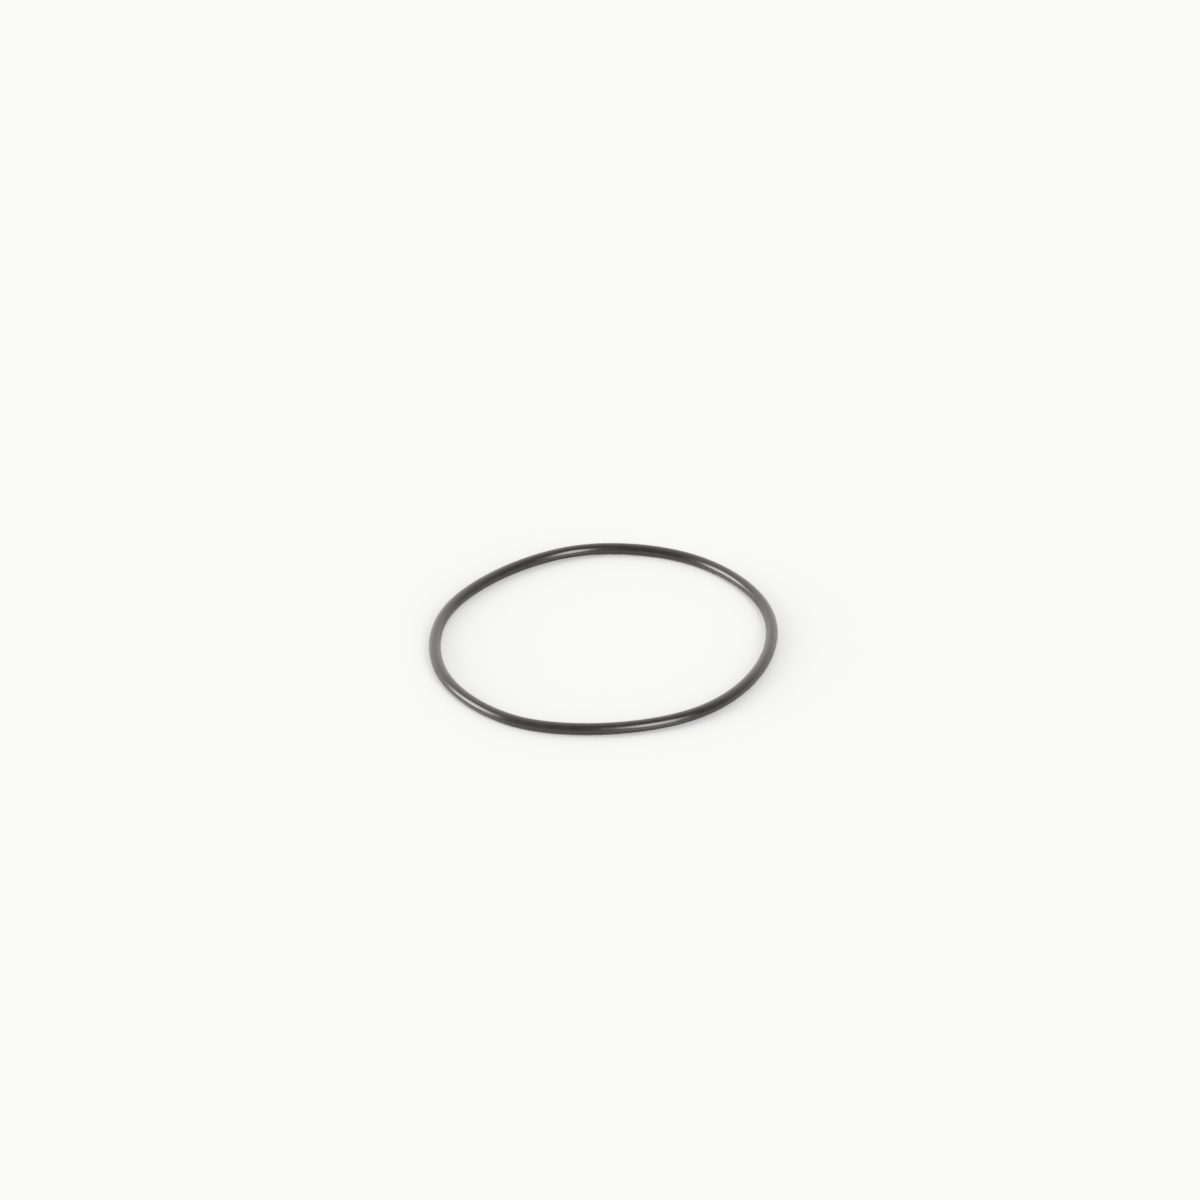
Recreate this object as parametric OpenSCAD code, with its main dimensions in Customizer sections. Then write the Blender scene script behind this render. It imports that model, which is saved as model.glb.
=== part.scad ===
/* [Ring] */
// Inside diameter as moulded, which is the free ring's bore when it is held round
inside_d = 94.84; // [40:0.01:250]
// Diameter of the round section
section_d = 3.53; // [1.5:0.01:8]

/* [Lie] */
// How far each quarter's bend radius is from the mean, as the slack ring lies on a table
bend_step = 4.2; // [0:0.1:10]
// Turn of the long axis about the vertical, from +X
long_axis_turn = 0; // [-90:1:90]

/* [Hidden] */

rubber_black = [0.055, 0.052, 0.05];
// facets of the section and of one whole turn, in the preview only
section_facets = 32;
turn_facets = 180;

// Radii are held to a thousandth of a millimetre, so that the quarters meet face to face
function thousandth(size) = round(size * 1000) / 1000;
centreline_r = thousandth((inside_d + section_d) / 2);
step = thousandth(bend_step);
// The quarters join on the axes, which puts the long axis halfway into the second quarter
long_axis_in_quarters = 135;

// One quarter of the ring, swept about its own centre from the tangent direction that
// the quarter number gives. Wide and tight quarters take turns, each centre lies one
// step out along both axes, and so the four meet tangent and in the same section.
module quarter(number) {
  wide = number % 2 == 0;
  bend_r = centreline_r + (wide ? step : -step);
  centre_x = number < 2 ? -step : step;
  centre_y = number == 0 || number == 3 ? -step : step;
  translate([centre_x, centre_y, 0])
    rotate_extrude(angle = 90, start = 90 * number, $fn = turn_facets)
      translate([bend_r, 0])
        circle(d = section_d, $fn = section_facets);
}

// The whole ring: one moulded loop of solid rubber, resting on the ground plane and
// slightly out of round, with the same length of centreline as when it is round
module o_ring()
  color(rubber_black)
    translate([0, 0, section_d / 2])
      rotate([0, 0, long_axis_turn - long_axis_in_quarters])
        for (number = [0:3])
          quarter(number);

o_ring();
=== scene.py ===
import bpy
import math
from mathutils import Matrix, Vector


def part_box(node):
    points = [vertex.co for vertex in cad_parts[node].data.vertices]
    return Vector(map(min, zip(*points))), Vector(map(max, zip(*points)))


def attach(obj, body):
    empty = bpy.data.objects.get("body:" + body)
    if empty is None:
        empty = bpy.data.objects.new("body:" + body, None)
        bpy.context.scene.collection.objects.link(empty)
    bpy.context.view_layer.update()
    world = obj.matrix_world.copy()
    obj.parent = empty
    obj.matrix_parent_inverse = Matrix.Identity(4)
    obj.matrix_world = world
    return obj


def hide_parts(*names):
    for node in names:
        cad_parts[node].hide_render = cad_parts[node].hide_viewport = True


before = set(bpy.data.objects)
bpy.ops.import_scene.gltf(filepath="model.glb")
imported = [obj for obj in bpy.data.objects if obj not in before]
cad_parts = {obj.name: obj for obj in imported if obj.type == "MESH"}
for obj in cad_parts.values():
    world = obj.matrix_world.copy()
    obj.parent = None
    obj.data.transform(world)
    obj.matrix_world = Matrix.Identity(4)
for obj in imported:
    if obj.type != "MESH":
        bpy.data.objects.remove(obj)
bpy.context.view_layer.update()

# The ring is one loop of solid black rubber, round in section. It was pressed and cured in a
# two-part mould whose halves met at mid-height. It lies slack on the table, a little longer
# one way than the other and not quite even, as a soft ring does.
MM = 0.001
ring_low, ring_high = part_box("o_ring")
section_d = ring_high.z - ring_low.z
long_outside = ring_high.x - ring_low.x
short_outside = ring_high.y - ring_low.y
centreline_r = (long_outside + short_outside) / 4 - section_d / 2
# The one even wave that fits the oval best stands out a little more than a quarter of the
# difference between the oval's length and its width
wave_share = 1.027
long_stretch = wave_share * (long_outside - short_outside) / 4

# Each lobe of the uneven outline: how many times it repeats in a turn, how far it stands out,
# and where, in degrees from the long axis
lobes = [
    (3, 0.32 * MM, 41),
    (4, 0.05 * MM, 10),
    (5, 0.30 * MM, -23),
    (6, 0.08 * MM, 15),
    (7, 0.12 * MM, 6),
    (8, 0.07 * MM, 20),
]
# Faces along the ring and around its section
along_steps = 720
around_steps = 96
# Faces crowd towards the mould's parting line, up to this share of the even spacing
crowding = 0.8
flash_height = 0.04 * MM
flash_width = 0.11 * MM


def wire(tree, value, socket):
    """Joins another node's output to the socket, or sets the socket's own value."""
    if isinstance(value, bpy.types.NodeSocket):
        tree.links.new(value, socket)
    else:
        socket.default_value = value


def put(tree, kind, values=(), **settings):
    """Adds a node with these settings, and gives its inputs these values or links."""
    node = tree.nodes.new(kind)
    for name, setting in settings.items():
        setattr(node, name, setting)
    for key, value in dict(values).items():
        wire(tree, value, node.inputs[key])
    return node


def calc(tree, operation, *values):
    return put(tree, "ShaderNodeMath", enumerate(values), operation=operation).outputs[0]


def vector_calc(tree, operation, *values):
    node = put(tree, "ShaderNodeVectorMath", enumerate(values), operation=operation)
    return node.outputs["Value" if operation == "DOT_PRODUCT" else "Vector"]


def xyz(tree, x, y, z):
    return put(tree, "ShaderNodeCombineXYZ", {"X": x, "Y": y, "Z": z}).outputs[0]


def split(tree, vector):
    return put(tree, "ShaderNodeSeparateXYZ", {0: vector}).outputs


def bell(tree, distance, half_width):
    """1 where the distance is nothing, fading to 0 a little beyond the half width."""
    share = calc(tree, "DIVIDE", distance, half_width)
    return calc(tree, "EXPONENT", calc(tree, "MULTIPLY", calc(tree, "MULTIPLY", share, share), -1.0))


def slack_ring_tree():
    """Sweeps the round section along a closed centreline that bends as the slack ring does."""
    tree = bpy.data.node_groups.new("slack_ring", "GeometryNodeTree")
    kinds = {
        "Centreline Radius": "NodeSocketFloat",
        "Section Diameter": "NodeSocketFloat",
        "Long Stretch": "NodeSocketFloat",
        "Flash Height": "NodeSocketFloat",
        "Flash Width": "NodeSocketFloat",
        "Along Steps": "NodeSocketInt",
        "Around Steps": "NodeSocketInt",
        "Rubber": "NodeSocketMaterial",
    }
    for count, _, _ in lobes:
        kinds[f"Lobe {count} Height"] = "NodeSocketFloat"
        kinds[f"Lobe {count} Turn"] = "NodeSocketFloat"
    ids = {}
    for name, kind in kinds.items():
        ids[name] = tree.interface.new_socket(name, in_out="INPUT", socket_type=kind).identifier
    tree.interface.new_socket("Geometry", in_out="OUTPUT", socket_type="NodeSocketGeometry")
    given = tree.nodes.new("NodeGroupInput").outputs
    out = tree.nodes.new("NodeGroupOutput")
    section_r = calc(tree, "MULTIPLY", given["Section Diameter"], 0.5)

    # The centreline is drawn by the distance of its tangent from the middle, which keeps its
    # length the same however far it is out of round
    circle = put(
        tree,
        "GeometryNodeCurvePrimitiveCircle",
        {"Resolution": given["Along Steps"], "Radius": 1.0},
    ).outputs["Curve"]
    outward = tree.nodes.new("GeometryNodeInputPosition").outputs[0]
    cos_turn, sin_turn, _ = split(tree, outward)
    turn = calc(tree, "ARCTAN2", sin_turn, cos_turn)
    reach = given["Centreline Radius"]
    slope = 0.0
    waves = [(2, given["Long Stretch"], 0.0)]
    waves += [(n, given[f"Lobe {n} Height"], given[f"Lobe {n} Turn"]) for n, _, _ in lobes]
    for count, height, wave_turn in waves:
        phase = calc(tree, "MULTIPLY", calc(tree, "SUBTRACT", turn, wave_turn), float(count))
        reach = calc(tree, "MULTIPLY_ADD", height, calc(tree, "COSINE", phase), reach)
        steepness = calc(tree, "MULTIPLY", height, -float(count))
        slope = calc(tree, "MULTIPLY_ADD", steepness, calc(tree, "SINE", phase), slope)
    x = calc(
        tree,
        "SUBTRACT",
        calc(tree, "MULTIPLY", reach, cos_turn),
        calc(tree, "MULTIPLY", slope, sin_turn),
    )
    y = calc(
        tree,
        "ADD",
        calc(tree, "MULTIPLY", reach, sin_turn),
        calc(tree, "MULTIPLY", slope, cos_turn),
    )
    middle = xyz(tree, x, y, section_r)
    noted = tree.nodes.new("GeometryNodeCaptureAttribute")
    noted.capture_items.new("VECTOR", "Outward")
    noted.capture_items.new("VECTOR", "Middle")
    wire(tree, circle, noted.inputs[0])
    wire(tree, outward, noted.inputs["Outward"])
    wire(tree, middle, noted.inputs["Middle"])
    centreline = put(
        tree,
        "GeometryNodeSetPosition",
        {"Geometry": noted.outputs[0], "Position": noted.outputs["Middle"]},
    ).outputs[0]
    upright = put(tree, "GeometryNodeSetCurveNormal", {"Curve": centreline}, mode="Z_UP")

    # The section is a circle whose points crowd towards the parting line on both sides
    round_section = put(
        tree,
        "GeometryNodeCurvePrimitiveCircle",
        {"Resolution": given["Around Steps"], "Radius": 1.0},
    ).outputs["Curve"]
    across, height, _ = split(tree, tree.nodes.new("GeometryNodeInputPosition").outputs[0])
    even = calc(tree, "ARCTAN2", height, across)
    twice = calc(tree, "MULTIPLY", even, 2.0)
    shift = calc(tree, "MULTIPLY", calc(tree, "SINE", twice), crowding / 2)
    crowded = calc(tree, "SUBTRACT", even, shift)
    section = put(
        tree,
        "GeometryNodeSetPosition",
        {
            "Geometry": round_section,
            "Position": xyz(
                tree,
                calc(tree, "MULTIPLY", section_r, calc(tree, "COSINE", crowded)),
                calc(tree, "MULTIPLY", section_r, calc(tree, "SINE", crowded)),
                0.0,
            ),
        },
    ).outputs[0]
    swept = put(
        tree,
        "GeometryNodeCurveToMesh",
        {"Curve": upright.outputs[0], "Profile Curve": section},
    ).outputs[0]

    # A trace of trimmed flash stands out along the parting line
    here = tree.nodes.new("GeometryNodeInputPosition").outputs[0]
    spoke = vector_calc(tree, "SUBTRACT", here, noted.outputs["Middle"])
    outward_part = vector_calc(tree, "DOT_PRODUCT", spoke, noted.outputs["Outward"])
    out_share = calc(tree, "DIVIDE", outward_part, section_r)
    rise = split(tree, spoke)[2]
    ridge = bell(tree, rise, calc(tree, "MULTIPLY", given["Flash Width"], 0.5))
    ridge_height = calc(tree, "MULTIPLY", ridge, given["Flash Height"])
    stand_out = calc(tree, "MULTIPLY", ridge_height, calc(tree, "SIGN", out_share))
    moulded = put(
        tree,
        "GeometryNodeSetPosition",
        {
            "Geometry": swept,
            "Offset": put(
                tree,
                "ShaderNodeVectorMath",
                {"Vector": noted.outputs["Outward"], "Scale": stand_out},
                operation="SCALE",
            ).outputs[0],
        },
    ).outputs[0]
    marked = put(
        tree,
        "GeometryNodeStoreNamedAttribute",
        {
            "Geometry": moulded,
            "Name": "section_place",
            "Value": xyz(tree, out_share, calc(tree, "DIVIDE", rise, section_r), 0.0),
        },
        data_type="FLOAT_VECTOR",
        domain="POINT",
    ).outputs[0]
    smooth = put(tree, "GeometryNodeSetShadeSmooth", {"Geometry": marked}).outputs[0]
    real = put(tree, "GeometryNodeRealizeInstances", {"Geometry": smooth}).outputs[0]
    finished = put(
        tree, "GeometryNodeSetMaterial", {"Geometry": real, "Material": given["Rubber"]}
    ).outputs[0]
    wire(tree, finished, out.inputs["Geometry"])
    return tree, ids


rubber_ior = 1.44
# Gloss and body are both a trace warm, as carbon black is
gloss_tint = (1.0, 0.915, 0.88, 1)
bare_black = (0.0122, 0.0107, 0.0102, 1)
bloomed_black = (0.0185, 0.0163, 0.0155, 1)
bare_roughness = 0.21
bloomed_roughness = 0.27
# Each detail is the number of finer layers in a noise
bloom_size = 3.8 * MM
bloom_detail = 4.0
# The noise at which the bloom starts and at which it is full
bloom_starts = 0.35
bloom_full = 0.7
mould_mark_size = 0.15 * MM
mould_mark_length = 20 * MM
mould_mark_depth = 0.005 * MM
mould_mark_detail = 1.0
grain_size = 0.07 * MM
grain_depth = 0.003 * MM
grain_detail = 2.0
# Where the flash was trimmed off, the rubber is torn and matt
flash_roughness = 0.2
# Each finer layer of the noise is this share of the one before it
finer_share = 0.6


def noise(tree, place, size, detail):
    """Soft noise with features of about this size, where the place is in metres."""
    return put(
        tree,
        "ShaderNodeTexNoise",
        {"Vector": place, "Scale": 1 / size, "Detail": detail, "Roughness": finer_share},
    ).outputs["Fac"]


def black_rubber():
    """Cured black rubber: satin from the mould, with faint patches of dry bloom."""
    material = bpy.data.materials.new("black_rubber")
    material.use_nodes = True
    tree = material.node_tree
    shader = tree.nodes["Principled BSDF"]
    shader.inputs["IOR"].default_value = rubber_ior
    shader.inputs["Specular Tint"].default_value = gloss_tint
    place = tree.nodes.new("ShaderNodeTexCoord").outputs["Object"]
    section_place = put(
        tree, "ShaderNodeAttribute", attribute_name="section_place"
    ).outputs["Vector"]
    out_share, rise_share, _ = split(tree, section_place)

    # Wax that has come to the surface dulls and lightens it in patches
    wax = noise(tree, place, bloom_size, bloom_detail)
    bloom = put(
        tree,
        "ShaderNodeMapRange",
        {"Value": wax, "From Min": bloom_starts, "From Max": bloom_full},
    ).outputs["Result"]
    # A mix node's colours are its inputs 6 and 7, and its mixed colour is output 2
    colour = put(
        tree, "ShaderNodeMix", {0: bloom, 6: bare_black, 7: bloomed_black}, data_type="RGBA"
    ).outputs[2]
    wire(tree, colour, shader.inputs["Base Color"])

    scar = bell(tree, rise_share, flash_width / section_d)
    satin = put(
        tree,
        "ShaderNodeMapRange",
        {"Value": bloom, "To Min": bare_roughness, "To Max": bloomed_roughness},
    ).outputs["Result"]
    roughness = calc(tree, "MULTIPLY_ADD", scar, flash_roughness, satin)
    wire(tree, roughness, shader.inputs["Roughness"])

    # The mould was turned, so its finest tool marks run along the ring; its blasting left a grain
    x, y, _ = split(tree, place)
    section_r = section_d / 2
    along = calc(tree, "MULTIPLY", calc(tree, "ADD", x, y), mould_mark_size / mould_mark_length)
    marks_place = xyz(
        tree,
        calc(tree, "MULTIPLY", out_share, section_r),
        calc(tree, "MULTIPLY", rise_share, section_r),
        along,
    )
    mark_noise = noise(tree, marks_place, mould_mark_size, mould_mark_detail)
    grain_noise = noise(tree, place, grain_size, grain_detail)
    marks = calc(tree, "MULTIPLY", mark_noise, mould_mark_depth)
    height = calc(tree, "MULTIPLY_ADD", grain_noise, grain_depth, marks)
    relief = put(tree, "ShaderNodeBump", {"Height": height, "Distance": 1.0})
    wire(tree, relief.outputs[0], shader.inputs["Normal"])
    return material


tree, ids = slack_ring_tree()
maker = bpy.data.objects.new("ring_maker", bpy.data.meshes.new("ring_maker"))
bpy.context.scene.collection.objects.link(maker)
sweep = maker.modifiers.new("sweep", "NODES")
sweep.node_group = tree
settings = {
    "Centreline Radius": centreline_r,
    "Section Diameter": section_d,
    "Long Stretch": long_stretch,
    "Flash Height": flash_height,
    "Flash Width": flash_width,
    "Along Steps": along_steps,
    "Around Steps": around_steps,
    "Rubber": black_rubber(),
}
for count, height, degrees in lobes:
    settings[f"Lobe {count} Height"] = height
    settings[f"Lobe {count} Turn"] = math.radians(degrees)
for name, value in settings.items():
    sweep[ids[name]] = value
worked_out = maker.evaluated_get(bpy.context.evaluated_depsgraph_get())
ring_mesh = bpy.data.meshes.new_from_object(worked_out)
bpy.data.objects.remove(maker)
ring = bpy.data.objects.new("moulded_ring", ring_mesh)
bpy.context.scene.collection.objects.link(ring)
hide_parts("o_ring")
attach(ring, "root")

# The table is a plain pale sheet of matt card, far larger than the ring, which lies on it
# loose and is held by nothing.
table_size = 12.0
table_tone = 0.75
table_roughness = 0.9
bpy.ops.mesh.primitive_plane_add(size=table_size)
table = bpy.context.object
table.name = "table"
paper = bpy.data.materials.new("pale_table")
paper.use_nodes = True
paper_shader = paper.node_tree.nodes["Principled BSDF"]
paper_shader.inputs["Base Color"].default_value = (table_tone, table_tone, table_tone, 1)
paper_shader.inputs["Roughness"].default_value = table_roughness
paper_shader.inputs["Specular IOR Level"].default_value = 0.0
table.data.materials.append(paper)

# The camera stands where the photograph was taken from: level, well back with a long lens,
# and aimed a little above and left of the ring.
# Seen from above, the camera's right is turned this far from the ring's long axis
camera_azimuth = math.radians(-46)
camera_height_angle = math.radians(32.4)
stand_off = 1.360
lens_mm = 140.0
sensor_mm = 36.0
picture_px = 1200
# Where the middle of the ring is in the picture, from its top left corner
ring_px = (603.9, 637.1)
to_right = Vector((math.cos(camera_azimuth), math.sin(camera_azimuth), 0))
to_back = Vector((-math.sin(camera_azimuth), math.cos(camera_azimuth), 0))
to_top = Vector((0, 0, 1))
ring_middle = Vector((0, 0, section_d / 2))
towards_camera = to_top * math.sin(camera_height_angle) - to_back * math.cos(camera_height_angle)
camera = bpy.data.objects.new("camera", bpy.data.cameras.new("camera"))
bpy.context.scene.collection.objects.link(camera)
bpy.context.scene.camera = camera
camera.data.lens = lens_mm
camera.data.sensor_width = sensor_mm
camera.location = ring_middle + towards_camera * stand_off
metres_per_px = stand_off * sensor_mm / lens_mm / picture_px
picture_up = to_right.cross(-towards_camera)
aim = (
    ring_middle
    - to_right * (ring_px[0] - picture_px / 2) * metres_per_px
    + picture_up * (ring_px[1] - picture_px / 2) * metres_per_px
)
camera.rotation_mode = "QUATERNION"
camera.rotation_quaternion = (aim - camera.location).to_track_quat("-Z", "Y")

# Two soft lights, left and front right, light the ring. The room behind it is bright and the
# side towards the camera is dim, so its shadow falls softly towards the camera.
world = bpy.data.worlds.new("room")
bpy.context.scene.world = world
world.use_nodes = True
room = world.node_tree
looking = room.nodes.new("ShaderNodeTexCoord").outputs["Generated"]


def pointing(turn, height_angle):
    """A direction by its turn, seen from above, from the camera's right by way of the back."""
    flat = math.cos(math.radians(height_angle))
    return (
        to_right * math.cos(math.radians(turn)) * flat
        + to_back * math.sin(math.radians(turn)) * flat
        + to_top * math.sin(math.radians(height_angle))
    )


# Brightness of the room, where 1 lights a white sheet fully
dim_room = 0.22
bright_room = 2.55
bright_side = pointing(turn=101, height_angle=0)
# How far towards the bright side a direction points where the room starts and stops brightening
room_turns_bright = (-0.5, 0.87)
room_light = put(
    room,
    "ShaderNodeMapRange",
    {
        "Value": vector_calc(room, "DOT_PRODUCT", looking, bright_side),
        "From Min": room_turns_bright[0],
        "From Max": room_turns_bright[1],
        "To Min": dim_room,
        "To Max": bright_room,
    },
    interpolation_type="SMOOTHSTEP",
).outputs["Result"]


# How sharply a light falls off at its edges
edge_steepness = 2.4


def soft_light(turn, height_angle, half_wide, half_tall, radiance):
    """A far, even light with soft edges, placed and sized in degrees as the ring sees it."""
    middle = pointing(turn, height_angle)
    sideways = to_top.cross(middle).normalized()
    upwards = middle.cross(sideways)
    ahead = vector_calc(room, "DOT_PRODUCT", looking, middle)
    off_middle = 0.0
    for axis, half in ((sideways, half_wide), (upwards, half_tall)):
        aside = vector_calc(room, "DOT_PRODUCT", looking, axis)
        share = calc(room, "DIVIDE", calc(room, "ARCTAN2", aside, ahead), math.radians(half))
        off_middle = calc(room, "MULTIPLY_ADD", share, share, off_middle)
    falling = calc(room, "POWER", off_middle, edge_steepness)
    glow = calc(room, "EXPONENT", calc(room, "MULTIPLY", falling, -1.0))
    return calc(room, "MULTIPLY", glow, radiance)


left_light = soft_light(turn=183, height_angle=12, half_wide=18.5, half_tall=24, radiance=18.5)
front_light = soft_light(turn=303, height_angle=22, half_wide=15, half_tall=24, radiance=18)
room_light = calc(room, "ADD", room_light, calc(room, "ADD", left_light, front_light))
# The camera itself sees an even backdrop
backdrop_tone = 1.64
seen = room.nodes.new("ShaderNodeLightPath").outputs["Is Camera Ray"]
shown_light = put(
    room, "ShaderNodeMix", {"Factor": seen, "A": room_light, "B": backdrop_tone}, data_type="FLOAT"
).outputs["Result"]
background = room.nodes["Background"]
background.inputs["Color"].default_value = (1.0, 1.0, 1.0, 1)
wire(room, shown_light, background.inputs["Strength"])

# The camera's tone curve turns light into the tones of the picture: straight up to the knee,
# then over a long soft shoulder into paper white.
knee = 0.3
# The tone that the shoulder nears but never reaches
shoulder_top = 1.10
# The light that comes out as pure white
brightest = 1.96
curve_steps = 24


def shown(light):
    """The tone that a light is shown as."""
    if light < knee:
        return light
    room_left = shoulder_top - knee
    return knee + room_left * (1 - math.exp((knee - light) / room_left))


view = bpy.context.scene.view_settings
view.view_transform = "Standard"
view.use_curve_mapping = True
tone = view.curve_mapping
tone.white_level = (brightest, brightest, brightest)
# Curve 3 is for all three colours, and its points crowd towards the dark end
for step in range(1, curve_steps):
    share = (step / curve_steps) ** 2
    tone.curves[3].points.new(share, shown(share * brightest))
# The brightest paper comes out a trace warm, so curve 2, the blue one, falls off above this share
warm_from = 0.35
blue_white = 0.925
tone.curves[2].points[1].location = (1, blue_white)
tone.curves[2].points.new(warm_from, warm_from).handle_type = "VECTOR"
tone.update()
